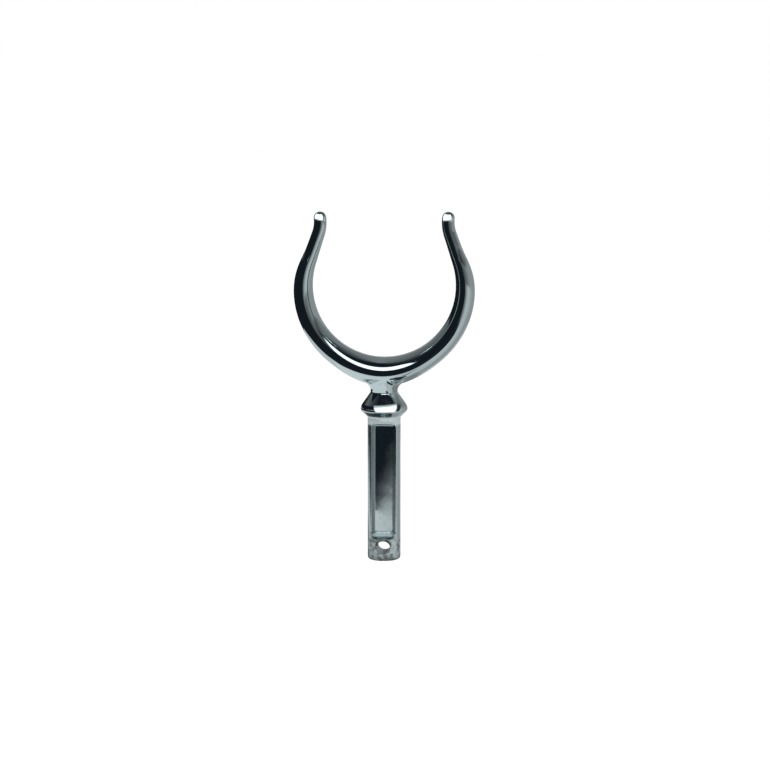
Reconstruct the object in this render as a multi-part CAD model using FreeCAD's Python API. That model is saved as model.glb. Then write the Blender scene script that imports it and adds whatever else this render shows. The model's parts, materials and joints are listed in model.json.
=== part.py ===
import FreeCAD, Part
import math
import os

# A rowlock, cast in one piece and chromed. Millimetres, +Z up.
# The shank's axis is Z and the horn lies in the XZ plane. The origin is on that
# axis where the collar's underside meets the shank: the socket's mouth comes here.

# Shank
shank_diameter = 12.7
shank_length = 55.4
shank_end_radius = 1.2

# Recess in the front and the back of the shank, and the land between it and the cross hole
recess_top_land = 1.0
recess_hole_land = 0.8
recess_web = 4.0
recess_floor_width = 6.8
recess_side_draft = 32.0
recess_end_draft = 25.0
recess_corner_radius = 1.0
recess_root_radius = 0.6
recess_edge_radius = 0.35

# Cross hole for a split pin or a lanyard
cross_hole_diameter = 5.2
cross_hole_from_end = 5.2
cross_hole_edge_radius = 0.35

# Collar, and the neck, which spreads front to back to a little inside the ring's root
collar_diameter = 18.0
collar_rim_height = 3.1
collar_rim_radius = 1.2
collar_shoulder_radius = 3.4
collar_height = 9.5
collar_root_radius = 0.6
neck_diameter = 10.4
neck_length = 2.4
neck_top_inset = 0.16
neck_fillet_radius = 0.6
web_fillet_radius = 2.6

# Inner line of the horn: a ring, a straight flank on each arm, and a flare out
ring_radius = 27.3
ring_hook_angle = 17.5
flank_length = 10.9
flare_radius = 18.0
flare_lean_angle = 6.0

# Oval section of the horn: thickness lies in the horn's plane, depth across it
root_thickness = 11.2
root_depth = 16.0
haunch_angle = 35.0
haunch_thickness = 8.9
haunch_depth = 14.6
side_thickness = 7.2
side_depth = 12.0
flank_thickness = 5.3
flank_depth = 7.6
tip_diameter = 4.8

# How finely the horn is drawn, how far a cutter stands clear of what it cuts, where an
# edge is probed along its length, and how near a point lies to a surface that it is on
sections_per_arm = 16
cutter_clearance = 1.0
edge_probes = (0, 0.25, 0.5, 0.75, 1)
tolerance = 0.01

shank_radius = shank_diameter / 2
neck_radius = neck_diameter / 2
root_height = collar_height + neck_length + root_thickness / 2
ring_height = root_height + root_thickness / 2 + ring_radius
recess_top = -recess_top_land
recess_bottom = cross_hole_from_end + cross_hole_diameter / 2 + recess_hole_land - shank_length

# Travel along the inner line, counted from the bottom of the ring
ring_sweep = math.radians(90 + ring_hook_angle)
ring_travel = ring_radius * ring_sweep
flare_sweep = math.radians(ring_hook_angle + flare_lean_angle)
arm_travel = ring_travel + flank_length + flare_radius * flare_sweep

haunch_travel = ring_radius * math.radians(haunch_angle)
side_travel = ring_radius * math.radians(90)
flank_travel = ring_travel + flank_length / 2

thickness_stations = [
    (0, root_thickness),
    (haunch_travel, haunch_thickness),
    (side_travel, side_thickness),
    (flank_travel, flank_thickness),
    (arm_travel, tip_diameter),
]
depth_stations = [
    (0, root_depth),
    (haunch_travel, haunch_depth),
    (side_travel, side_depth),
    (flank_travel, flank_depth),
    (arm_travel, tip_diameter),
]


def taper(stations, travel):
    """Size at a travel, by a cubic through the stations, level at both ends, with no overshoot."""
    steps = [(b[1] - a[1]) / (b[0] - a[0]) for a, b in zip(stations, stations[1:])]
    inner = [2 * p * q / (p + q) if p * q > 0 else 0 for p, q in zip(steps, steps[1:])]
    slopes = [0, *inner, 0]
    spans = list(zip(stations, stations[1:], slopes, slopes[1:]))
    start, end, slope_in, slope_out = next(
        (span for span in spans if travel <= span[1][0]), spans[-1])
    length = end[0] - start[0]
    u = (travel - start[0]) / length
    rise = (end[1] - start[1]) * u * u * (3 - 2 * u)
    bow_in = length * slope_in * u * (1 - u) ** 2
    bow_out = length * slope_out * u * u * (u - 1)
    return start[1] + rise + bow_in + bow_out


def ring_point(angle):
    """Point of the inner ring, by its angle from the bottom."""
    x = ring_radius * math.sin(angle)
    z = ring_height - ring_radius * math.cos(angle)
    return x, z


def inner_line(travel):
    """Point of the right arm's inner line, and the line's angle above +X there."""
    if travel <= ring_travel:
        angle = travel / ring_radius
        return ring_point(angle), angle
    x, z = ring_point(ring_sweep)
    along_flank = min(travel - ring_travel, flank_length)
    x += along_flank * math.cos(ring_sweep)
    z += along_flank * math.sin(ring_sweep)
    angle = ring_sweep - (travel - ring_travel - along_flank) / flare_radius
    x += flare_radius * (math.sin(ring_sweep) - math.sin(angle))
    z += flare_radius * (math.cos(angle) - math.cos(ring_sweep))
    return (x, z), angle


def horn_frame(travel):
    """Centre and forward direction of the horn's section. The left arm has travel < 0."""
    side = math.copysign(1, travel)
    (x, z), angle = inner_line(abs(travel))
    half = taper(thickness_stations, abs(travel)) / 2
    centre = FreeCAD.Vector(side * (x + half * math.sin(angle)), 0, z - half * math.cos(angle))
    forward = FreeCAD.Vector(math.cos(angle), 0, side * math.sin(angle))
    return centre, forward


def horn_section(travel):
    """Oval wire across the horn, with its seam on the inner line."""
    centre, forward = horn_frame(travel)
    half_depth = taper(depth_stations, abs(travel)) / 2
    half_thickness = taper(thickness_stations, abs(travel)) / 2
    across = FreeCAD.Vector(0, 1, 0)
    if half_depth > half_thickness:
        inward = centre + forward.cross(across) * half_thickness
        oval = Part.Ellipse(centre + across * half_depth, inward, centre)
    else:
        oval = Part.Circle(centre, forward, half_thickness)
        oval.XAxis = across
    quarter = math.pi / 2
    return Part.Wire([Part.Edge(oval, quarter, quarter + 2 * math.pi)])


def make_horn():
    """Both arms as one loft through oval sections, with a ball end on each tip."""
    stations = range(-sections_per_arm, sections_per_arm + 1)
    wires = [horn_section(arm_travel * i / sections_per_arm) for i in stations]
    horn = Part.makeLoft(wires, True)
    for travel in (-arm_travel, arm_travel):
        centre, forward = horn_frame(travel)
        outward = forward * math.copysign(1, travel)
        horn = horn.fuse(Part.makeSphere(tip_diameter / 2, centre, outward, 0, 90, 360))
    return horn


def tangent_from(point, centre, radius, side):
    """Where the line from a point touches a circle, on the side given by +1 or -1."""
    x, z = point[0] - centre[0], point[1] - centre[1]
    turn = math.acos(radius / math.hypot(x, z))
    angle = math.atan2(z, x) + side * turn
    return centre[0] + radius * math.cos(angle), centre[1] + radius * math.sin(angle)


def in_profile(point):
    """A point of the turned profile, given as radius and height."""
    return FreeCAD.Vector(point[0], 0, point[1])


def polyline(points):
    return Part.makePolygon([in_profile(point) for point in points]).Edges


def arc_between(start, end, centre, radius):
    """Short arc of a circle between two of its points."""
    x = (start[0] + end[0]) / 2 - centre[0]
    z = (start[1] + end[1]) / 2 - centre[1]
    reach = radius / math.hypot(x, z)
    middle = (centre[0] + x * reach, centre[1] + z * reach)
    return Part.Arc(in_profile(start), in_profile(middle), in_profile(end)).toShape()


def make_stem_profile():
    """Half outline of the shank and the collar."""
    collar_radius = collar_diameter / 2
    seat = (shank_radius, 0)
    cone_top = (neck_radius, collar_height)
    rim = (collar_radius, collar_rim_height)
    rim_centre = (collar_radius - collar_rim_radius, collar_rim_height)
    shoulder_centre = (collar_radius - collar_shoulder_radius, collar_rim_height)
    under = tangent_from(seat, rim_centre, collar_rim_radius, 1)
    over = tangent_from(cone_top, shoulder_centre, collar_shoulder_radius, -1)
    edges = [
        *polyline([(0, -shank_length), (shank_radius, -shank_length), seat, under]),
        arc_between(under, rim, rim_centre, collar_rim_radius),
        arc_between(rim, over, shoulder_centre, collar_shoulder_radius),
        *polyline([over, cone_top, (0, collar_height), (0, -shank_length)]),
    ]
    return Part.Face(Part.Wire(edges))


def round_rectangle(width, low, high, radius, y):
    """Wire in the plane at y, centred on X = 0, between two heights."""
    x = width / 2 - radius
    corners = [(x, low + radius), (x, high - radius), (-x, high - radius), (-x, low + radius)]
    arcs = []
    for quarter, (centre_x, centre_z) in enumerate(corners):
        turns = [math.radians(90 * quarter + degrees) for degrees in (-90, -45, 0)]
        arcs.append(Part.Arc(*[
            FreeCAD.Vector(centre_x + radius * math.cos(turn), y, centre_z + radius * math.sin(turn))
            for turn in turns]).toShape())
    sides = [
        Part.makeLine(arc.Vertexes[-1].Point, following.Vertexes[0].Point)
        for arc, following in zip(arcs, arcs[1:] + arcs[:1])]
    return Part.Wire([edge for pair in zip(arcs, sides) for edge in pair])


def make_recess(face):
    """Cutter for one recess with drafted walls. The front has face -1, the back +1."""
    floor_y = recess_web / 2
    rise = shank_radius - floor_y
    end_slope = math.tan(math.radians(recess_end_draft))
    side_slope = math.tan(math.radians(recess_side_draft))
    low = recess_bottom + rise * end_slope
    high = recess_top - rise * end_slope
    reach = rise + cutter_clearance
    floor = round_rectangle(recess_floor_width, low, high, recess_corner_radius, face * floor_y)
    mouth = round_rectangle(
        recess_floor_width + 2 * reach * side_slope,
        low - reach * end_slope,
        high + reach * end_slope,
        recess_corner_radius + reach * end_slope,
        face * (floor_y + reach))
    return Part.makeLoft([floor, mouth], True, True)


def make_cross_hole():
    """Cutter for the hole across the shank's end, along Y."""
    reach = shank_radius + cutter_clearance
    start = FreeCAD.Vector(0, -reach, cross_hole_from_end - shank_length)
    return Part.makeCylinder(cross_hole_diameter / 2, 2 * reach, start, FreeCAD.Vector(0, 1, 0))


def edges_where(shape, holds):
    """Edges that pass a test at every probe along them."""
    found = []
    for edge in shape.Edges:
        span = edge.LastParameter - edge.FirstParameter
        points = [edge.valueAt(edge.FirstParameter + span * share) for share in edge_probes]
        if all(holds(point) for point in points):
            found.append(edge)
    return found


def is_near(value, target):
    return abs(value - target) < tolerance


def on_round(point, radius):
    """Whether a point lies at a radius from the Z axis."""
    return is_near(math.hypot(point.x, point.y), radius)


def round_ring(body, fillet, radius, height):
    """Fillet on the ring of a radius at a height on the stem."""
    ring = edges_where(body, lambda p: on_round(p, radius) and is_near(p.z, height))
    return body.makeFillet(fillet, ring)


def make_stem():
    """Shank and collar, turned about Z, with the collar's root and the shank's end rounded."""
    stem = make_stem_profile().revolve(FreeCAD.Vector(0, 0, 0), FreeCAD.Vector(0, 0, 1), 360)
    stem = round_ring(stem, collar_root_radius, shank_radius, 0)
    return round_ring(stem, shank_end_radius, shank_radius, -shank_length)


def neck_depth(height):
    """Half the neck's depth at a height on its way up into the ring's root."""
    share = (height - collar_height) / (root_height - collar_height)
    return neck_radius + (root_depth / 2 - neck_top_inset - neck_radius) * share


def make_neck():
    """The neck, round on the collar and oval inside the ring's root."""
    base = Part.Circle(FreeCAD.Vector(0, 0, collar_height), FreeCAD.Vector(0, 0, 1), neck_radius)
    base.XAxis = FreeCAD.Vector(0, 1, 0)
    root = FreeCAD.Vector(0, 0, root_height)
    front = root + FreeCAD.Vector(0, neck_depth(root_height), 0)
    side = root - FreeCAD.Vector(neck_radius, 0, 0)
    top = Part.Ellipse(front, side, root)
    return Part.makeLoft([Part.Wire(base.toShape()), Part.Wire(top.toShape())], True, True)


def make_webbed_horn():
    """The horn on its neck, with a web along the corner between them."""
    body = make_horn().fuse(make_neck()).removeSplitter()

    def in_web(point):
        depth = neck_depth(point.z)
        on_neck = is_near(math.hypot(point.x, point.y * neck_radius / depth), neck_radius)
        return on_neck and point.z > collar_height + tolerance
    return body.makeFillet(web_fillet_radius, edges_where(body, in_web))


def cut_recesses(body):
    """Both recesses, with their floors and mouths rounded as cast."""
    body = body.cut([make_recess(-1), make_recess(1)])
    lowest = recess_bottom - tolerance
    highest = recess_top + tolerance

    def on_mouth(point):
        return on_round(point, shank_radius) and lowest < point.z < highest
    body = body.makeFillet(recess_edge_radius, edges_where(body, on_mouth))
    floor_edges = edges_where(body, lambda p: is_near(abs(p.y), recess_web / 2))
    return body.makeFillet(recess_root_radius, floor_edges)


def cut_cross_hole(body):
    """The hole through the shank's end, with its rims rounded."""
    body = body.cut(make_cross_hole())
    height = cross_hole_from_end - shank_length

    def on_rim(point):
        on_hole = is_near(math.hypot(point.x, point.z - height), cross_hole_diameter / 2)
        return on_hole and on_round(point, shank_radius)
    return body.makeFillet(cross_hole_edge_radius, edges_where(body, on_rim))


def make_rowlock():
    """The whole casting."""
    body = make_webbed_horn().fuse(make_stem()).removeSplitter()
    body = round_ring(body, neck_fillet_radius, neck_radius, collar_height)
    return cut_cross_hole(cut_recesses(body))


os.makedirs("parts", exist_ok=True)
rowlock = make_rowlock()
rowlock.exportStep("parts/rowlock.step")
print("rowlock", rowlock.isValid(), len(rowlock.Solids), round(rowlock.Volume, 1), "mm3")
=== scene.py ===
"""The rowlock as a chrome-plated casting, in a plain studio set about it."""
import json
import math

import bpy
import numpy as np
from mathutils import Matrix, Vector


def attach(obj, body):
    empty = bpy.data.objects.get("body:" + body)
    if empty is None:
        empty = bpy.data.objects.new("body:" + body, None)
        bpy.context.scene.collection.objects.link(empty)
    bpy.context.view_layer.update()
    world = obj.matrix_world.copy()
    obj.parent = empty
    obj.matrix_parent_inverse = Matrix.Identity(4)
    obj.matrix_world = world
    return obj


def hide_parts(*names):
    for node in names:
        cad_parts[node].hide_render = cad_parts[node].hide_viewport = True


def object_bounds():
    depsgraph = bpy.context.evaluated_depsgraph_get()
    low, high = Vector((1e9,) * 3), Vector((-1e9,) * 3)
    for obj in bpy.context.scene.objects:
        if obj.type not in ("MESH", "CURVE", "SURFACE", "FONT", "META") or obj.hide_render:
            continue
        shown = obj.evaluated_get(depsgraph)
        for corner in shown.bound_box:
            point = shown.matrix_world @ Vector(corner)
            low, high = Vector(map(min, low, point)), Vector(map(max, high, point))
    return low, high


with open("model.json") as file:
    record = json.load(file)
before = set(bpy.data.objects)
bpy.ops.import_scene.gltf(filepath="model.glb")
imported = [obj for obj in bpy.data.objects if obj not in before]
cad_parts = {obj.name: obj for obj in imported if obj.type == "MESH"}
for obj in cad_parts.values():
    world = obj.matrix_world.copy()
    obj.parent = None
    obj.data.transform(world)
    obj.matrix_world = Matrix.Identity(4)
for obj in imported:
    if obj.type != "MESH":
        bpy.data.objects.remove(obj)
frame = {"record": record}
cad_low, cad_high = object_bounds()
MM = 0.001

# Sizes in millimetres, as in the part's source, with z = 0 where the collar meets the shank
mounts = {mount["name"]: mount for mount in frame["record"]["mounts"]}
SHANK_RADIUS = mounts["shank"]["dims"]["r_mm"]
HOLE_RADIUS = mounts["cross_hole"]["dims"]["r_mm"]
HOLE_HEIGHT = mounts["cross_hole"]["pos_m"][2] / MM
SHANK_END = cad_low.z / MM
SHANK_END_ROUNDING = 1.2
RECESS_TOP = -1.0
RECESS_BOTTOM = -46.8
RECESS_FLOOR_Y = 2.0
RECESS_FLOOR_HALF_WIDTH = 3.4
RECESS_SIDE_DRAFT = math.radians(32)
RECESS_END_DRAFT = math.radians(25)
RECESS_CORNER_ROUNDING = 1.0
RECESS_ROOT_ROUNDING = 0.6
EDGE_ROUNDING = 0.35
COLLAR_RADIUS = 9.0
COLLAR_RIM_HEIGHT = 3.1
COLLAR_RIM_ROUNDING = 1.2
COLLAR_SHOULDER_ROUNDING = 3.4
COLLAR_HEIGHT = 9.5
COLLAR_ROOT_ROUNDING = 0.6
NECK_RADIUS = 5.2
NECK_LENGTH = 2.4
NECK_TOP_INSET = 0.16
NECK_ROUNDING = 0.6
WEB_ROUNDING = 2.6
RING_RADIUS = 27.3
RING_SWEEP = math.radians(107.5)
FLANK_LENGTH = 10.9
FLARE_RADIUS = 18.0
FLARE_SWEEP = math.radians(23.5)
HAUNCH_ANGLE = math.radians(35)
THICKNESSES = (11.2, 8.9, 7.2, 5.3, 4.8)
DEPTHS = (16.0, 14.6, 12.0, 7.6, 4.8)

ROOT_HEIGHT = COLLAR_HEIGHT + NECK_LENGTH + THICKNESSES[0] / 2
RING_HEIGHT = COLLAR_HEIGHT + NECK_LENGTH + THICKNESSES[0] + RING_RADIUS
RING_TRAVEL = RING_RADIUS * RING_SWEEP
FLARE_TRAVEL = RING_TRAVEL + FLANK_LENGTH
ARM_TRAVEL = FLARE_TRAVEL + FLARE_RADIUS * FLARE_SWEEP
STATIONS = (
    0,
    RING_RADIUS * HAUNCH_ANGLE,
    RING_RADIUS * math.pi / 2,
    RING_TRAVEL + FLANK_LENGTH / 2,
    ARM_TRAVEL)

# How finely the skin is drawn, how many steps its grid reaches past the part (the quarter
# step keeps the grid's planes off the horn's crest), and how deep and long its waves are
SKIN_PITCH = 0.35
SKIN_MARGIN = 3.25
SHANK_WAVE_DEPTH = 0.035
HORN_WAVE_DEPTH = 0.014
WAVE_COUNT = 14
WAVE_LENGTHS = (7, 22)
random = np.random.default_rng(7)
waves = random.normal(size=(WAVE_COUNT, 3))
wave_lengths = random.uniform(*WAVE_LENGTHS, size=(WAVE_COUNT, 1))
waves *= 2 * math.pi / wave_lengths / np.linalg.norm(waves, axis=1)[:, None]
wave_phases = random.uniform(0, 2 * math.pi, WAVE_COUNT)


def round_union(first, second, radius, cosine=0.0):
    """Distance to two solids as one, with a ball rolled along the corner between them.

    The cosine is that of the angle between the solids' outward normals.
    """
    sine = np.maximum(1 - cosine ** 2, 1e-3)
    a, b = radius - first, radius - second
    ball = radius - np.sqrt(np.maximum(a * a + b * b - 2 * a * b * cosine, 0) / sine)
    in_corner = (a > b * cosine) & (b > a * cosine)
    return np.where(in_corner, ball, np.minimum(first, second))


def round_overlap(first, second, radius, cosine=0.0):
    """Distance to what two solids share, with the edge between them rounded."""
    return -round_union(-first, -second, radius, cosine)


def taper(sizes, travel):
    """Size at a travel along the arm, by a cubic through the stations with no overshoot."""
    steps = np.diff(sizes) / np.diff(STATIONS)
    inner = [2 * p * q / (p + q) if p * q > 0 else 0.0 for p, q in zip(steps, steps[1:])]
    slopes = np.array([0.0, *inner, 0.0])
    i = np.clip(np.searchsorted(STATIONS, travel) - 1, 0, len(steps) - 1)
    start, length = np.array(STATIONS)[i], np.diff(STATIONS)[i]
    u = np.clip((travel - start) / length, 0, 1)
    rise = np.diff(sizes)[i] * u * u * (3 - 2 * u)
    bow = slopes[i] * u * (1 - u) ** 2 + slopes[i + 1] * u * u * (u - 1)
    return np.array(sizes)[i] + rise + length * bow


def heading(angle):
    """Directions along and outward from the arm's inner line, at its angle above +X."""
    along = np.array([math.cos(angle), math.sin(angle)])
    return along, np.array([along[1], -along[0]])


def arm_place(x, z):
    """Travel along the right arm's inner line, and distances outward from it and past its end."""
    travel = RING_RADIUS * np.arctan2(x, RING_HEIGHT - z)
    outward = np.hypot(x, z - RING_HEIGHT) - RING_RADIUS
    along, out = heading(RING_SWEEP)
    ring_end = RING_RADIUS * out + [0, RING_HEIGHT]
    reach = (x - ring_end[0]) * along[0] + (z - ring_end[1]) * along[1]
    on_flank = (reach > 0) & (z > RING_HEIGHT)
    travel = np.where(on_flank, RING_TRAVEL + reach, travel)
    outward = np.where(on_flank, (x - ring_end[0]) * out[0] + (z - ring_end[1]) * out[1], outward)
    flare_centre = ring_end + FLANK_LENGTH * along + FLARE_RADIUS * out
    turned = RING_SWEEP - np.arctan2(flare_centre[0] - x, z - flare_centre[1])
    on_flare = on_flank & (reach > FLANK_LENGTH)
    flare_travel = FLARE_TRAVEL + FLARE_RADIUS * np.clip(turned, 0, FLARE_SWEEP)
    travel = np.where(on_flare, flare_travel, travel)
    flare_out = FLARE_RADIUS - np.hypot(x - flare_centre[0], z - flare_centre[1])
    along, out = heading(RING_SWEEP - FLARE_SWEEP)
    tip = flare_centre - FLARE_RADIUS * out
    past = (x - tip[0]) * along[0] + (z - tip[1]) * along[1]
    on_tip = on_flare & (past > 0) & (turned > FLARE_SWEEP / 2)
    tip_out = (x - tip[0]) * out[0] + (z - tip[1]) * out[1]
    outward = np.where(on_flare, np.where(on_tip, tip_out, flare_out), outward)
    return travel, outward, np.where(on_tip, past, 0)


def horn_distance(x, y, z):
    """Distance to the horn, and its normal."""
    mirror = np.sign(x)
    travel, outward, past = arm_place(np.abs(x), z)
    half_thickness = taper(THICKNESSES, travel) / 2
    half_depth = taper(DEPTHS, travel) / 2
    u, v, w = (outward - half_thickness) / half_thickness, y / half_depth, past / half_thickness
    size = np.sqrt(u * u + v * v + w * w)
    rise = np.sqrt((u * u + w * w) / half_thickness ** 2 + (v / half_depth) ** 2)
    rise = np.maximum(rise, 1e-6)
    across, angle = u / half_thickness / rise, travel / RING_RADIUS
    normal = (mirror * across * np.sin(angle), v / half_depth / rise, -across * np.cos(angle))
    return size * (size - 1) / rise, normal


def neck_distance(x, y, z):
    """Distance to the neck, round on the collar and oval in the ring's root, and its normal."""
    spread = (DEPTHS[0] / 2 - NECK_TOP_INSET - NECK_RADIUS) / (ROOT_HEIGHT - COLLAR_HEIGHT)
    depth = NECK_RADIUS + spread * (np.clip(z, COLLAR_HEIGHT - 1, ROOT_HEIGHT) - COLLAR_HEIGHT)
    size = np.hypot(x / NECK_RADIUS, y / depth)
    slope = (x / NECK_RADIUS ** 2, y / depth ** 2, -spread * y * y / depth ** 3)
    rise = np.maximum(np.sqrt(slope[0] ** 2 + slope[1] ** 2 + slope[2] ** 2), 1e-6)
    normal = tuple(part / rise for part in slope)
    side = size * (size - 1) / rise
    return np.maximum(side, np.maximum(COLLAR_HEIGHT - 1 - z, z - ROOT_HEIGHT)), normal


def cosine_between(first, second):
    return sum(a * b for a, b in zip(first, second))


def tangent_at_rim(point, rounding, side):
    """Height where the line from a point, touching the rim's arc, meets the rim's radius."""
    centre = (COLLAR_RADIUS - rounding, COLLAR_RIM_HEIGHT)
    r, z = point[0] - centre[0], point[1] - centre[1]
    angle = math.atan2(z, r) + side * math.acos(rounding / math.hypot(r, z))
    touch = (centre[0] + rounding * math.cos(angle), centre[1] + rounding * math.sin(angle))
    return point[1] + (touch[1] - point[1]) * (COLLAR_RADIUS - point[0]) / (touch[0] - point[0])


def stem_outline():
    """Corners of the turned outline from the shank's end up, each with its rounding."""
    seat, cone_top = (SHANK_RADIUS, 0.0), (NECK_RADIUS, COLLAR_HEIGHT)
    under = (COLLAR_RADIUS, tangent_at_rim(seat, COLLAR_RIM_ROUNDING, 1))
    over = (COLLAR_RADIUS, tangent_at_rim(cone_top, COLLAR_SHOULDER_ROUNDING, -1))
    return [
        ((0, SHANK_END), 0),
        ((SHANK_RADIUS, SHANK_END), SHANK_END_ROUNDING),
        (seat, COLLAR_ROOT_ROUNDING),
        (under, COLLAR_RIM_ROUNDING),
        (over, COLLAR_SHOULDER_ROUNDING),
        (cone_top, 0),
        ((0, COLLAR_HEIGHT), 0),
    ]


def outline_parts(outline):
    """Straight runs and arcs of a rounded outline that has the solid on its left."""
    points = [np.array(point, float) for point, _ in outline]
    runs, arcs, cut = [], [], 0.0
    for i in range(1, len(points)):
        step = points[i] - points[i - 1]
        length = np.linalg.norm(step)
        along = step / length
        next_cut = 0.0
        if outline[i][1]:
            following = points[i + 1] - points[i]
            following /= np.linalg.norm(following)
            turn = math.atan2(along[0] * following[1] - along[1] * following[0], along @ following)
            next_cut = outline[i][1] * math.tan(abs(turn) / 2)
            side = math.copysign(1, turn)
            left = np.array([-along[1], along[0]])
            centre = points[i] - along * next_cut + side * outline[i][1] * left
            arcs.append((centre, outline[i][1], side, along, following))
        runs.append((points[i - 1], along, cut, max(length - next_cut, cut)))
        cut = next_cut
    return runs, arcs


outline = stem_outline()
runs, arcs = outline_parts(outline)
cone = np.subtract(outline[5][0], outline[4][0]) / math.dist(outline[5][0], outline[4][0])


def stem_distance(r, z):
    nearest = np.full(np.broadcast(r, z).shape, np.inf)
    signed = nearest.copy()
    for start, along, low, high in runs:
        reach = (r - start[0]) * along[0] + (z - start[1]) * along[1]
        off = (r - start[0]) * along[1] - (z - start[1]) * along[0]
        gap = np.hypot(off, reach - np.clip(reach, low, high))
        signed = np.where(gap < nearest, np.copysign(gap, off), signed)
        nearest = np.minimum(nearest, gap)
    for centre, radius, side, before, after in arcs:
        dr, dz = r - centre[0], z - centre[1]
        off = side * (np.hypot(dr, dz) - radius)
        inside = (dr * before[0] + dz * before[1] >= 0) & (dr * after[0] + dz * after[1] <= 0)
        closer = inside & (np.abs(off) <= nearest)
        signed = np.where(closer, off, signed)
        nearest = np.where(closer, np.abs(off), nearest)
    return signed


def recess_distance(x, y, z):
    """Negative inside the recesses in the shank's front and back."""
    height = np.abs(y) - RECESS_FLOOR_Y
    end_slope = math.tan(RECESS_END_DRAFT)
    middle = (RECESS_TOP + RECESS_BOTTOM) / 2
    half_length = RECESS_TOP - middle - (SHANK_RADIUS - RECESS_FLOOR_Y) * end_slope
    side_gap, end_gap = np.abs(x) - RECESS_FLOOR_HALF_WIDTH, np.abs(z - middle) - half_length
    side = side_gap * math.cos(RECESS_SIDE_DRAFT) - height * math.sin(RECESS_SIDE_DRAFT)
    end = end_gap * math.cos(RECESS_END_DRAFT) - height * math.sin(RECESS_END_DRAFT)
    corner = RECESS_CORNER_ROUNDING + np.maximum(height, 0) * end_slope
    side_sine, end_sine = math.sin(RECESS_SIDE_DRAFT), math.sin(RECESS_END_DRAFT)
    walls = round_overlap(side, end, corner, side_sine * end_sine)
    draft = np.where(side > end, side_sine, end_sine)
    return round_overlap(walls, -height, RECESS_ROOT_ROUNDING, draft)


def gradient(distance, x, y, z, step=0.005):
    return [(distance(*ahead) - distance(*behind)) / (2 * step) for ahead, behind in (
        ((x + step, y, z), (x - step, y, z)),
        ((x, y + step, z), (x, y - step, z)),
        ((x, y, z + step), (x, y, z - step)))]


def rough_distance(x, y, z):
    """Distance to the casting with its corners left sharp."""
    solid = np.minimum(horn_distance(x, y, z)[0], neck_distance(x, y, z)[0])
    solid = np.minimum(solid, stem_distance(np.hypot(x, y), z))
    hole = HOLE_RADIUS - np.hypot(x, z - HOLE_HEIGHT)
    return np.maximum(solid, np.maximum(-recess_distance(x, y, z), hole))


def wave_depth(x, y, z):
    """How far the cast skin lies in from the nominal one. It is deepest down the shank."""
    total = sum(
        np.sin(wave[0] * x + wave[1] * y + wave[2] * z + phase)
        for wave, phase in zip(waves, wave_phases))
    share = np.clip(-z / 6, 0, 1)
    depth = HORN_WAVE_DEPTH + (SHANK_WAVE_DEPTH - HORN_WAVE_DEPTH) * share * share * (3 - 2 * share)
    return depth * (0.5 + 0.5 * np.tanh(total / 3))


def casting_distance(x, y, z):
    radius = np.maximum(np.hypot(x, y), 1e-6)
    horn, horn_normal = horn_distance(x, y, z)
    neck, neck_normal = neck_distance(x, y, z)
    stem_normal = (cone[1] * x / radius, cone[1] * y / radius, -cone[0])
    body = round_union(horn, neck, WEB_ROUNDING, cosine_between(horn_normal, neck_normal))
    waist = cosine_between(neck_normal, stem_normal)
    body = round_union(body, stem_distance(radius, z), NECK_ROUNDING, waist)
    across = gradient(recess_distance, x, y, z)
    mouth = -(across[0] * x + across[1] * y) / radius
    body = round_overlap(body, -recess_distance(x, y, z), EDGE_ROUNDING, mouth)
    hole = np.hypot(x, z - HOLE_HEIGHT)
    body = round_overlap(body, HOLE_RADIUS - hole, EDGE_ROUNDING, -x * x / (radius * hole + 1e-6))
    return body + wave_depth(x, y, z)


def surface_net(values, low):
    """Vertices and four-sided faces of the zero surface of a grid, negative inside."""
    inside = values < 0
    cells_shape = np.array(values.shape) - 1
    corners = [np.array(c) for c in np.ndindex(2, 2, 2)]
    count = sum(
        inside[tuple(slice(c, c + n) for c, n in zip(corner, cells_shape))].astype(np.int8)
        for corner in corners)
    cells = np.argwhere((count > 0) & (count < 8))
    index = np.full(cells_shape, -1)
    index[tuple(cells.T)] = np.arange(len(cells))
    total, hits = np.zeros((len(cells), 3)), np.zeros(len(cells))
    quads = []
    for axis in range(3):
        step = np.eye(3, dtype=int)[axis]
        for corner in corners:
            if corner[axis]:
                continue
            start = cells + corner
            a, b = values[tuple(start.T)], values[tuple((start + step).T)]
            crossed = (a < 0) != (b < 0)
            share = np.where(crossed, a / np.where(crossed, a - b, 1), 0)
            total += crossed[:, None] * (start + share[:, None] * step)
            hits += crossed
        near = inside[tuple(slice(0, n) for n in np.array(values.shape) - step)]
        far = inside[tuple(slice(n, None) for n in step)]
        edges = np.argwhere(near != far)
        u, v = np.roll(step, 1), np.roll(step, 2)
        quad = np.stack([index[tuple((edges - s).T)] for s in (u + v, v, 0 * v, u)], 1)
        outward = near[tuple(edges.T)]
        quads.append(np.where(outward[:, None], quad, quad[:, ::-1]))
    return low + SKIN_PITCH * total / hits[:, None], np.concatenate(quads)


def settle(points, rounds=1):
    """Points moved onto the casting's surface, with the gradient there."""
    for _ in range(rounds):
        slope = np.stack(gradient(casting_distance, *points.T), 1)
        step = casting_distance(*points.T) / np.maximum((slope ** 2).sum(1), 1e-6)
        points = points - step[:, None] * slope
    return points


def even_out(points, quads, rounds=4):
    """Points evened along the surface, and how far it bends there, positive on edges."""
    pairs = np.concatenate([quads[:, [i, (i + 1) % 4]] for i in range(4)])
    pairs = np.concatenate([pairs, pairs[:, ::-1]])
    count = np.bincount(pairs[:, 0], minlength=len(points))[:, None]

    def around():
        sums = [np.bincount(pairs[:, 0], points[pairs[:, 1], i], len(points)) for i in range(3)]
        return np.stack(sums, 1) / count
    for _ in range(rounds):
        points = settle(points + 0.5 * (around() - points))
    return points, around() - points


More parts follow.
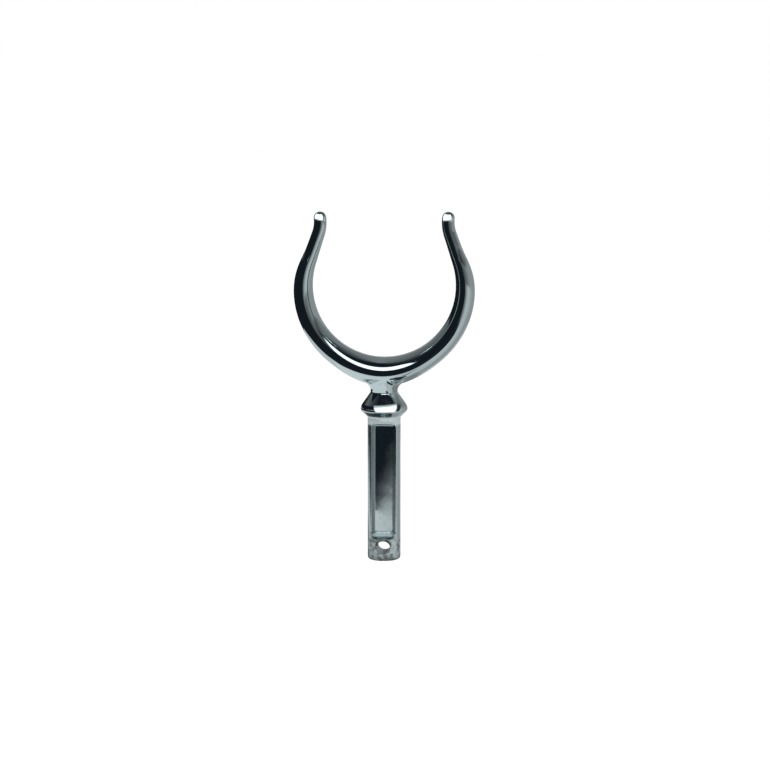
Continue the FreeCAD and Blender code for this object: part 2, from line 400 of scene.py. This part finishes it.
def make_skin():
    """The casting's skin in millimetres, with normals and masks for its material."""
    margin = SKIN_MARGIN * SKIN_PITCH
    low = np.array(cad_low) / MM - margin
    high = np.array(cad_high) / MM + margin
    axes = [np.arange(a, b, SKIN_PITCH) for a, b in zip(low, high)]
    x, y, z = np.meshgrid(*axes, indexing="ij")
    points, quads = surface_net(rough_distance(x, y, z), low)
    points, bend = even_out(settle(points, 3), quads)
    normals = np.stack(gradient(casting_distance, *points.T), 1)
    normals /= np.linalg.norm(normals, axis=1)[:, None]
    x, y, z = points.T
    depth = -recess_distance(x, y, z)
    hole = np.hypot(x, z - HOLE_HEIGHT) - HOLE_RADIUS

    # Painted shade lies over the upper half of the hole's rim and along the recess's lower end
    over_hole = np.clip(1.7 - np.abs(hole - 0.3) / 0.4, 0, 1)
    over_hole *= np.clip((z - HOLE_HEIGHT) / 1.5 + 0.3, 0, 1)
    at_end = np.clip(1.4 - np.abs(depth) / 0.35, 0, 1)
    at_end *= np.clip((RECESS_BOTTOM + 1.6 - z) / 0.6, 0, 1)
    masks = {
        "ridge": np.clip(-(bend * normals).sum(1) / SKIN_PITCH * 6, 0, 1),
        "recess": np.clip(0.9 + depth / 0.5, 0, 1),
        "bore": np.clip(1 - hole / 0.2, 0, 1),
        "rim": np.maximum(over_hole, at_end) * np.clip(np.abs(y) - 4, 0, 1),
    }
    return points, quads, normals, masks


def make_casting():
    points, quads, normals, masks = make_skin()
    mesh = bpy.data.meshes.new("casting")
    mesh.from_pydata(points * MM, [], quads)
    for name, values in masks.items():
        mesh.attributes.new(name, "FLOAT", "POINT").data.foreach_set("value", values)
    mesh.shade_smooth()
    mesh.normals_split_custom_set_from_vertices(normals)
    casting = bpy.data.objects.new("casting", mesh)
    bpy.context.collection.objects.link(casting)
    return casting


class Nodes:
    """A node tree being wired up."""

    def __init__(self, tree):
        self.tree = tree
        tree.nodes.clear()

    def add(self, kind, inputs=None, **settings):
        node = self.tree.nodes.new(kind)
        for name, value in settings.items():
            setattr(node, name, value)
        for name, value in (inputs or {}).items():
            if isinstance(value, bpy.types.NodeSocket):
                self.tree.links.new(value, node.inputs[name])
            else:
                node.inputs[name].default_value = value
        return node

    def math(self, operation, a, b=0.0, clamp=False):
        inputs = {0: a, 1: b}
        return self.add("ShaderNodeMath", inputs, operation=operation, use_clamp=clamp).outputs[0]

    def product(self, first, *others):
        for other in others:
            first = self.math("MULTIPLY", first, other)
        return first

    def spread(self, value, low, high, to_low=0.0, to_high=1.0):
        """A smooth step from one value to another as the input goes from low to high."""
        inputs = {
            "Value": value, "From Min": low, "From Max": high, "To Min": to_low, "To Max": to_high}
        return self.add("ShaderNodeMapRange", inputs, interpolation_type="SMOOTHSTEP").outputs[0]

    def blend(self, share, first, second):
        """A colour between two."""
        inputs = {0: share, 6: first, 7: second}
        return self.add("ShaderNodeMix", inputs, data_type="RGBA").outputs[2]

    def noise(self, place, scale, detail):
        inputs = {"Vector": place, "Scale": scale, "Detail": detail}
        return self.add("ShaderNodeTexNoise", inputs).outputs["Fac"]

    def attribute(self, name):
        return self.add("ShaderNodeAttribute", attribute_name=name).outputs["Fac"]


def make_chrome():
    """Buffed chrome on the horn and collar, dull and pitted as cast down in the recesses."""
    material = bpy.data.materials.new("chrome_plating")
    material.use_nodes = True
    nodes = Nodes(material.node_tree)
    coordinates = nodes.add("ShaderNodeTexCoord").outputs
    place = coordinates["Object"]
    axes = nodes.add("ShaderNodeSeparateXYZ", {"Vector": place}).outputs
    facing = nodes.add("ShaderNodeSeparateXYZ", {"Vector": coordinates["Normal"]}).outputs
    recess, ridge = nodes.attribute("recess"), nodes.attribute("ridge")
    bore, rim = nodes.attribute("bore"), nodes.attribute("rim")
    blotch = nodes.noise(place, 90.0, 2.0)
    cloud = nodes.noise(place, 260.0, 4.0)
    pits = nodes.noise(place, 620.0, 3.0)
    grain = nodes.noise(place, 1500.0, 3.0)

    # The plating grows cloudy down the shank, first on the right of the recesses
    drift = nodes.math("SUBTRACT", axes["Z"], nodes.product(axes["X"], 2.6))
    blotches = nodes.product(nodes.math("SUBTRACT", blotch, 0.5), 22 * MM)
    drift = nodes.math("ADD", drift, blotches)
    dull = nodes.spread(drift, -26 * MM, -44 * MM)
    floor_dull = nodes.product(recess, dull)
    floor_haze = nodes.product(recess, nodes.spread(drift, -14 * MM, -52 * MM))

    # The shank's lands, its foot, and the unbuffed corner under the collar
    shank = nodes.spread(axes["Z"], -0.5 * MM, -2.5 * MM)
    land = nodes.math("SUBTRACT", shank, recess, clamp=True)
    foot = nodes.spread(axes["Z"], -45.5 * MM, -48 * MM)
    corner = nodes.product(
        nodes.spread(axes["Z"], -3.2 * MM, -2.2 * MM),
        nodes.spread(axes["Z"], 0.9 * MM, 0.3 * MM))

    # The recess's steep walls, less so where its lower end faces up
    wall = nodes.product(
        recess,
        nodes.spread(nodes.math("ABSOLUTE", facing["Y"]), 0.92, 0.7),
        nodes.spread(facing["Z"], 0.6, 0.2, 0.4, 1.0),
        nodes.math("SUBTRACT", 1.0, corner))

    # Each region's added roughness, from its smooth clouds to its rough ones
    roughness = nodes.spread(blotch, 0.3, 0.7, 0.03, 0.06)
    for share, smooth, rough in (
            (land, 0.18, 0.28),
            (floor_dull, 0.14, 0.28),
            (wall, 0.1, 0.2),
            (corner, 0.2, 0.3),
            (foot, 0.04, 0.14),
            (ridge, 0.04, 0.08)):
        extra = nodes.product(share, nodes.spread(cloud, 0.3, 0.7, smooth, rough))
        roughness = nodes.math("ADD", roughness, extra, clamp=True)

    # Dark stains in the foot's pits and in the pits of the recess's floor, painted shade on the
    # recess's walls, deeper down the shank, and painted shade about the rims
    stain_and_wall_shade = nodes.product(
        nodes.spread(pits, 0.4, 0.66), nodes.math("SUBTRACT", foot, bore, clamp=True))
    for share, depth in (
            (wall, nodes.spread(drift, -10 * MM, -50 * MM, 0.7, 1.0)),
            (nodes.product(recess, nodes.spread(pits, 0.6, 0.72)), 0.3)):
        stain_and_wall_shade = nodes.math("MAXIMUM", stain_and_wall_shade, nodes.product(share, depth))
    blued = nodes.product(
        nodes.spread(axes["Z"], -38 * MM, -26 * MM),
        nodes.spread(axes["Z"], -3.5 * MM, -5.5 * MM),
        nodes.math("SUBTRACT", recess, wall, clamp=True))
    rim_shade = nodes.product(rim, nodes.spread(cloud, 0.36, 0.56, 0.55, 0.97))
    colour = nodes.blend(blued, (0.66, 0.75, 0.745, 1), (0.645, 0.75, 0.8, 1))
    # Stains in the pits, and the recess walls' painted shade, darken the colour
    colour = nodes.blend(nodes.product(stain_and_wall_shade, 0.85), colour, (0.16, 0.19, 0.19, 1))
    # The rims' painted shade, nearly black
    colour = nodes.blend(rim_shade, colour, (0.035, 0.05, 0.05, 1))

    # Where the plating is cloudy it scatters light as paint does
    cloudy = nodes.product(floor_haze, 0.25)
    for share, depth in ((foot, 0.25), (corner, 0.6)):
        cloudy = nodes.math("MAXIMUM", cloudy, nodes.product(share, depth))
    metal = nodes.math("SUBTRACT", 1.0, cloudy)

    fine = nodes.add("ShaderNodeBump", {
        "Strength": 0.12, "Distance": 0.02 * MM, "Height": grain})
    pitted = nodes.product(nodes.math("MAXIMUM", foot, nodes.product(shank, 0.15)), pits)
    coarse = nodes.add("ShaderNodeBump", {
        "Strength": 1.0, "Distance": 0.12 * MM, "Height": pitted, "Normal": fine.outputs[0]})
    shader = nodes.add("ShaderNodeBsdfPrincipled", {
        "Base Color": colour,
        "Metallic": metal,
        "Roughness": roughness,
        "Normal": coarse.outputs[0]})
    nodes.add("ShaderNodeOutputMaterial", {"Surface": shader.outputs[0]})
    return material


# The photograph's view: the camera's direction, its distance and how much one pixel covers
VIEW_AZIMUTH = math.radians(4)
VIEW_ELEVATION = math.radians(7)
VIEW_DISTANCE = 0.8
PIXEL = 0.383 * MM
IMAGE_SIZE = 770
SHANK_COLUMN = 384.1
VIEW_CENTRE = Vector((0, 0, 11.5 * MM))
VIEW_CENTRE_ROW = 386.8

forward = Vector((
    -math.sin(VIEW_AZIMUTH) * math.cos(VIEW_ELEVATION),
    math.cos(VIEW_AZIMUTH) * math.cos(VIEW_ELEVATION),
    -math.sin(VIEW_ELEVATION)))
right = Vector((math.cos(VIEW_AZIMUTH), math.sin(VIEW_AZIMUTH), 0))
up = right.cross(forward)
view_axes = Matrix((right, up, -forward)).transposed()


def make_camera():
    camera = bpy.data.cameras.new("camera")
    camera.sensor_width = 36
    camera.lens = camera.sensor_width * VIEW_DISTANCE / (IMAGE_SIZE * PIXEL)
    holder = bpy.data.objects.new("camera", camera)
    bpy.context.collection.objects.link(holder)
    across = (IMAGE_SIZE / 2 - SHANK_COLUMN) * PIXEL
    down = (VIEW_CENTRE_ROW - IMAGE_SIZE / 2) * PIXEL
    aim = VIEW_CENTRE + right * across + up * down
    holder.matrix_world = Matrix.Translation(aim - forward * VIEW_DISTANCE) @ view_axes.to_4x4()
    bpy.context.scene.camera = holder


# The studio's cards, seen only in the plating. Each column of a card is its azimuth from the
# camera's direction, its lowest and highest elevation, all in degrees, and its brightness.
CARD_CENTRE = Vector((0, 0, 45 * MM))
CARDS = {
    "black_tent": (0.36, [
        (-190, -10, 14, 0.013),
        (-172, -8, 15, 0.013),
        (-157, -9, 17, 0.013),
        (-142, -30, 21, 0.013),
        (-127, -48, 26, 0.013),
        (-112, -58, 30, 0.013),
        (-90, -64, 33, 0.013),
        (-60, -66, 42, 0.013),
        (-45, -66, 47, 0.013),
        (-30, -66, 78, 0.013),
        (0, -66, 80, 0.013),
        (12, -66, 80, 0.014),
    ]),
    "black_flag_low_right": (0.355, [
        (5, -62, -10, 0.013),
        (20, -60, -12, 0.013),
        (34, -54, -20, 0.015),
        (48, -44, -30, 0.02),
    ]),
    "grey_wall_right_low": (0.365, [
        (6, -62, 4, 0.2),
        (23, -62, 4, 0.22),
        (38, -62, 4, 0.4),
        (53, -60, 4, 0.55),
        (68, -60, 4, 0.58),
        (90, -60, 4, 0.5),
        (110, -60, 4, 0.4),
        (130, -60, 4, 0.34),
        (170, -60, 4, 0.34),
    ]),
    "grey_wall_right_middle": (0.37, [
        (6, -5, 26, 0.1),
        (23, -5, 26, 0.1),
        (38, -5, 26, 0.16),
        (53, -5, 26, 0.2),
        (68, -5, 26, 0.26),
        (90, -5, 26, 0.34),
        (130, -5, 26, 0.34),
        (170, -5, 26, 0.32),
    ]),
    "grey_wall_right_high": (0.375, [
        (6, 16, 60, 0.02),
        (23, 16, 55, 0.02),
        (38, 16, 52, 0.03),
        (53, 16, 46, 0.06),
        (68, 16, 44, 0.1),
        (90, 16, 46, 0.17),
        (130, 16, 50, 0.23),
        (170, 16, 50, 0.22),
    ]),
    "grey_ceiling": (0.38, [
        (-180, -14, 90, 0.24),
        (-150, 10, 90, 0.18),
        (-110, 20, 90, 0.13),
        (-90, 25, 90, 0.08),
        (-70, 30, 90, 0.045),
        (-45, 35, 90, 0.02),
        (-25, 40, 90, 0.013),
        (30, 40, 90, 0.013),
        (60, 38, 90, 0.014),
        (80, 38, 90, 0.04),
        (110, 30, 90, 0.08),
        (140, 25, 90, 0.14),
        (155, -5, 90, 0.2),
        (180, -14, 90, 0.24),
    ]),
    "pale_backdrop": (0.372, [
        (163, -2, 24, 0.6),
        (197, -2, 24, 0.6),
    ]),
    "pale_table": (0.39, [
        (-180, -90, 0, 0.6),
        (-90, -90, -10, 0.62),
        (0, -90, -30, 0.6),
        (60, -90, -20, 0.55),
        (100, -90, -20, 0.4),
        (130, -90, -20, 0.4),
        (160, -90, 0, 0.5),
        (180, -90, 0, 0.6),
    ]),
    "softbox": (0.34, [
        (-30, 42, 51, 1.7),
        (-22, 26, 51, 1.7),
        (-16, 13, 51, 1.7),
        (-8, 11, 51, 1.7),
        (-3, 13, 51, 1.7),
        (6, 16, 51, 1.7),
        (14, 20, 51, 1.7),
        (24, 24, 50, 1.7),
        (34, 27, 50, 1.7),
        (50, 32, 47, 1.7),
    ]),
}
CARD_STEP = 3.0
CARD_ROWS = 31
CARD_FADE = 5.0
CARD_TINT = (0.95, 1.0, 1.04, 1)
BLACK_TINT = (0.66, 1.0, 1.38, 1)

# Sheets that lie about the object, seen only in the plating: the table's, with a painted shadow of
# the object in its middle, and small ones about the collar, the web and the tips, which paint
# highlights, pale reflections and shade into the plating. Each has its height, its centre's X,
# which part of its reach it fades over (a fifth is 5), and columns of azimuth from the camera's
# direction, inner and outer reach, how far its outer edge curls up, and its brightness. Lengths
# are in millimetres.
SHEETS = {
    "white_sheet": (SHANK_END - 2.6, 0, 5, [
        (-180, 0, 340, 0, 0.6),
        (-155, 0, 340, 0, 0.6),
        (-142, 0, 300, 0, 0.62),
        (-127, 0, 215, 0, 0.64),
        (-112, 0, 160, 0, 0.66),
        (-97, 0, 104, 0, 0.68),
        (-75, 0, 78, 0, 0.7),
        (-50, 0, 80, 3, 0.7),
        (-25, 0, 88, 8, 0.7),
        (0, 0, 98, 8, 0.7),
        (20, 0, 106, 6, 0.62),
        (34, 0, 128, 2, 0.58),
        (48, 0, 180, 0, 0.58),
        (65, 0, 340, 0, 0.56),
        (90, 0, 340, 0, 0.5),
        (105, 0, 340, 0, 0.36),
        (130, 0, 340, 0, 0.34),
        (150, 0, 340, 0, 0.5),
        (180, 0, 340, 0, 0.6),
    ]),
    # Painted shadow: the object's own shadow on the table, seen in the plating
    "dark_middle": (SHANK_END - 2.3, 0, 5, [
        (-180, 0, 120, 0, 0.08),
        (-145, 0, 110, 0, 0.08),
        (-120, 0, 40, 0, 0.04),
        (-50, 0, 34, 0, 0.02),
        (20, 0, 34, 0, 0.02),
        (60, 0, 22, 0, 0.04),
        (150, 0, 30, 0, 0.04),
        (180, 0, 120, 0, 0.08),
    ]),
    "black_strip": (SHANK_END - 2.2, 0, 5, [
        (10, 52, 100, 0, 0.02),
        (40, 40, 120, 0, 0.02),
    ]),
    # A pale ring at the collar's rim: a painted pale reflection in the plating near it
    "pale_reflection_ring": (3.5, 0, 5, [
        (-175, 8.5, 34, 0, 0.75),
        (-80, 8.5, 34, 0, 0.75),
        (-60, 8.5, 27, 0, 0.75),
        (-35, 8.5, 19, 0, 0.75),
        (22, 8.5, 17, 0, 0.75),
    ]),
    # Painted highlight on the collar's front, with a pale cover over it seen from the web above
    "collar_highlight_sheet": (7.0, 0, 12, [
        (-31, 9.6, 16, -9, 1.7),
        (-15, 9.2, 16.5, -9, 1.7),
        (10, 8.8, 17, -9, 1.7),
        (40, 8.2, 17, -9, 1.7),
    ]),
    "collar_highlight_cover": (7.2, 0, 12, [
        (-34, 8.6, 18, -9, 0.75),
        (43, 7.8, 18, -9, 0.75),
    ]),
    # Painted shade: a dark streak in the web's plating and beside the collar's highlight
    "web_shade": (7.4, 0, 5, [
        (10, 7.6, 18, -9, 0.03),
        (60, 7.6, 18, -9, 0.03),
    ]),
    # Painted reflection: grey on the collar's right flank
    "grey_bowl": (3.0, 0, 3, [
        (62, 9, 18, 10, 0.26),
        (165, 9, 18, 10, 0.26),
    ]),
    # Painted highlights on the two tips, from small glowing hoods just over them
    "left_tip_highlight_sheet": (81.2, -24.4, 12, [
        (-95, 3.0, 5.5, -6.2, 1.7),
        (45, 3.0, 5.5, -6.2, 1.7),
    ]),
    "right_tip_highlight_sheet": (81.2, 24.4, 12, [
        (-95, 3.0, 5.5, -6.2, 1.7),
        (45, 3.0, 5.5, -6.2, 1.7),
    ]),
}
SHEET_FADE = 8.0

# The floor's width and how far it lies under the shank, in metres, and how much it is
# lifted towards white where the camera sees it
FLOOR_SIZE = 8.0
FLOOR_DROP = 0.09
FLOOR_LIFT = 0.28


def card_place(azimuth, elevation, radius):
    azimuth, elevation = math.radians(azimuth), math.radians(elevation)
    direction = Vector((
        math.sin(azimuth) * math.cos(elevation),
        math.sin(elevation),
        math.cos(azimuth) * math.cos(elevation)))
    return CARD_CENTRE + radius * (view_axes @ direction)


def azimuth_steps(columns):
    """A card's azimuths, and whether it goes all the way round."""
    span = np.ptp(columns[:, 0])
    steps = math.ceil(span / CARD_STEP)
    return np.linspace(columns[0, 0], columns[-1, 0], steps + 1), span >= 360


def add_card(name, points, fades, levels, material):
    """A card from its points, column by column. It shows in reflections only."""
    faces = [
        (first, first + CARD_ROWS, first + CARD_ROWS + 1, first + 1)
        for first in range(len(points) - CARD_ROWS) if (first + 1) % CARD_ROWS]
    mesh = bpy.data.meshes.new(name)
    mesh.from_pydata(points, [], faces)
    mesh.attributes.new("fade", "FLOAT", "POINT").data.foreach_set("value", fades)
    mesh.attributes.new("level", "FLOAT", "POINT").data.foreach_set("value", levels)
    mesh.materials.append(material)
    card = bpy.data.objects.new(name, mesh)
    bpy.context.collection.objects.link(card)
    card.visible_camera = False
    card.visible_diffuse = False
    card.visible_shadow = False
    card.visible_transmission = False
    card.visible_volume_scatter = False


def make_card(name, radius, columns, material):
    """A card curved about the object, faded at its borders."""
    columns = np.array(columns, float)
    azimuths, around = azimuth_steps(columns)
    points, fades, levels = [], [], []
    for azimuth in azimuths:
        low, high, level = (np.interp(azimuth, columns[:, 0], columns[:, i]) for i in (1, 2, 3))
        side = CARD_FADE if around else min(azimuth - columns[0, 0], columns[-1, 0] - azimuth)
        for elevation in np.linspace(low, high, CARD_ROWS):
            points.append(card_place(azimuth, elevation, radius))
            below = CARD_FADE if low <= -90 else elevation - low
            above = CARD_FADE if high >= 90 else high - elevation
            fades.append(max(0.0, min(side, below, above) / CARD_FADE))
            levels.append(level)
    add_card(name, points, fades, levels, material)


def make_sheet(name, height, centre, part, columns, material):
    """A sheet about an upright axis, curled and faded at its edge."""
    columns = np.array(columns, float)
    azimuths, around = azimuth_steps(columns)
    points, fades, levels = [], [], []
    for azimuth in azimuths:
        near, far, curl, level = (
            np.interp(azimuth, columns[:, 0], columns[:, i]) for i in range(1, 5))
        angle = VIEW_AZIMUTH + math.radians(azimuth) - math.pi / 2
        fade = min(SHEET_FADE, (far - near) / part)
        ends = min(azimuth - columns[0, 0], columns[-1, 0] - azimuth) / CARD_FADE
        side = 1.0 if around else ends
        for reach in np.linspace(near, far, CARD_ROWS):
            rise = height + curl * (reach / far) ** 3
            points.append(MM * Vector((
                centre + reach * math.cos(angle), reach * math.sin(angle), rise)))
            inner = 1.0 if near == 0 else (reach - near) / fade
            fades.append(max(0.0, min(1.0, side, inner, (far - reach) / fade)))
            levels.append(level)
    add_card(name, points, fades, levels, material)


def make_card_material():
    material = bpy.data.materials.new("studio_card")
    material.use_nodes = True
    nodes = Nodes(material.node_tree)
    fade = nodes.add("ShaderNodeAttribute", attribute_name="fade").outputs["Fac"]
    level = nodes.add("ShaderNodeAttribute", attribute_name="level").outputs["Fac"]
    tint = nodes.blend(nodes.math("MULTIPLY", level, 10.0, clamp=True), BLACK_TINT, CARD_TINT)
    glow = nodes.add("ShaderNodeEmission", {"Color": tint, "Strength": level})
    clear = nodes.add("ShaderNodeBsdfTransparent")
    mix = nodes.add("ShaderNodeMixShader", {
        0: nodes.spread(fade, 0.0, 1.0), 1: clear.outputs[0], 2: glow.outputs[0]})
    nodes.add("ShaderNodeOutputMaterial", {"Surface": mix.outputs[0]})
    return material


def make_world():
    world = bpy.data.worlds.new("studio")
    world.use_nodes = True
    bpy.context.scene.world = world
    nodes = Nodes(world.node_tree)
    path = nodes.add("ShaderNodeLightPath").outputs
    seen = nodes.math("MAXIMUM", path["Is Camera Ray"], path["Is Glossy Ray"])
    seen = nodes.math("MAXIMUM", seen, path["Is Transmission Ray"])
    strength = nodes.spread(seen, 0.0, 1.0, 0.85, 1.0)
    background = nodes.add("ShaderNodeBackground", {"Color": (1, 1, 1, 1), "Strength": strength})
    nodes.add("ShaderNodeOutputWorld", {"Surface": background.outputs[0]})


def make_floor():
    half, height = FLOOR_SIZE / 2, SHANK_END * MM - FLOOR_DROP
    corners = [
        (-half, -half, height), (half, -half, height), (half, half, height), (-half, half, height)]
    mesh = bpy.data.meshes.new("floor")
    mesh.from_pydata(corners, [], [(0, 1, 2, 3)])
    material = bpy.data.materials.new("floor")
    material.use_nodes = True
    nodes = Nodes(material.node_tree)
    seen = nodes.add("ShaderNodeLightPath").outputs["Is Camera Ray"]
    paper = nodes.add("ShaderNodeBsdfDiffuse", {"Color": (0.9, 0.9, 0.9, 1)})
    lift = nodes.add("ShaderNodeEmission", {"Strength": nodes.product(seen, FLOOR_LIFT)})
    both = nodes.add("ShaderNodeAddShader", {0: paper.outputs[0], 1: lift.outputs[0]})
    nodes.add("ShaderNodeOutputMaterial", {"Surface": both.outputs[0]})
    mesh.materials.append(material)
    floor = bpy.data.objects.new("floor", mesh)
    bpy.context.collection.objects.link(floor)
    floor.visible_glossy = False


def make_lamp():
    lamp = bpy.data.lights.new("soft_lamp", "AREA")
    lamp.shape = "DISK"
    lamp.size = 0.6
    lamp.energy = 2.5
    holder = bpy.data.objects.new("soft_lamp", lamp)
    bpy.context.collection.objects.link(holder)
    holder.location = (-0.35, -0.5, 0.9)
    holder.rotation_euler = (-Vector(holder.location)).to_track_quat("-Z", "Y").to_euler()
    holder.visible_glossy = False


casting = make_casting()
casting.data.materials.append(make_chrome())
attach(casting, "root")
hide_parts("rowlock")

make_camera()
make_world()
make_floor()
make_lamp()
card_material = make_card_material()
for name, (radius, columns) in CARDS.items():
    make_card(name, radius, columns, card_material)
for name, (height, centre, part, columns) in SHEETS.items():
    make_sheet(name, height, centre, part, columns, card_material)
bpy.context.scene.view_settings.view_transform = "Standard"
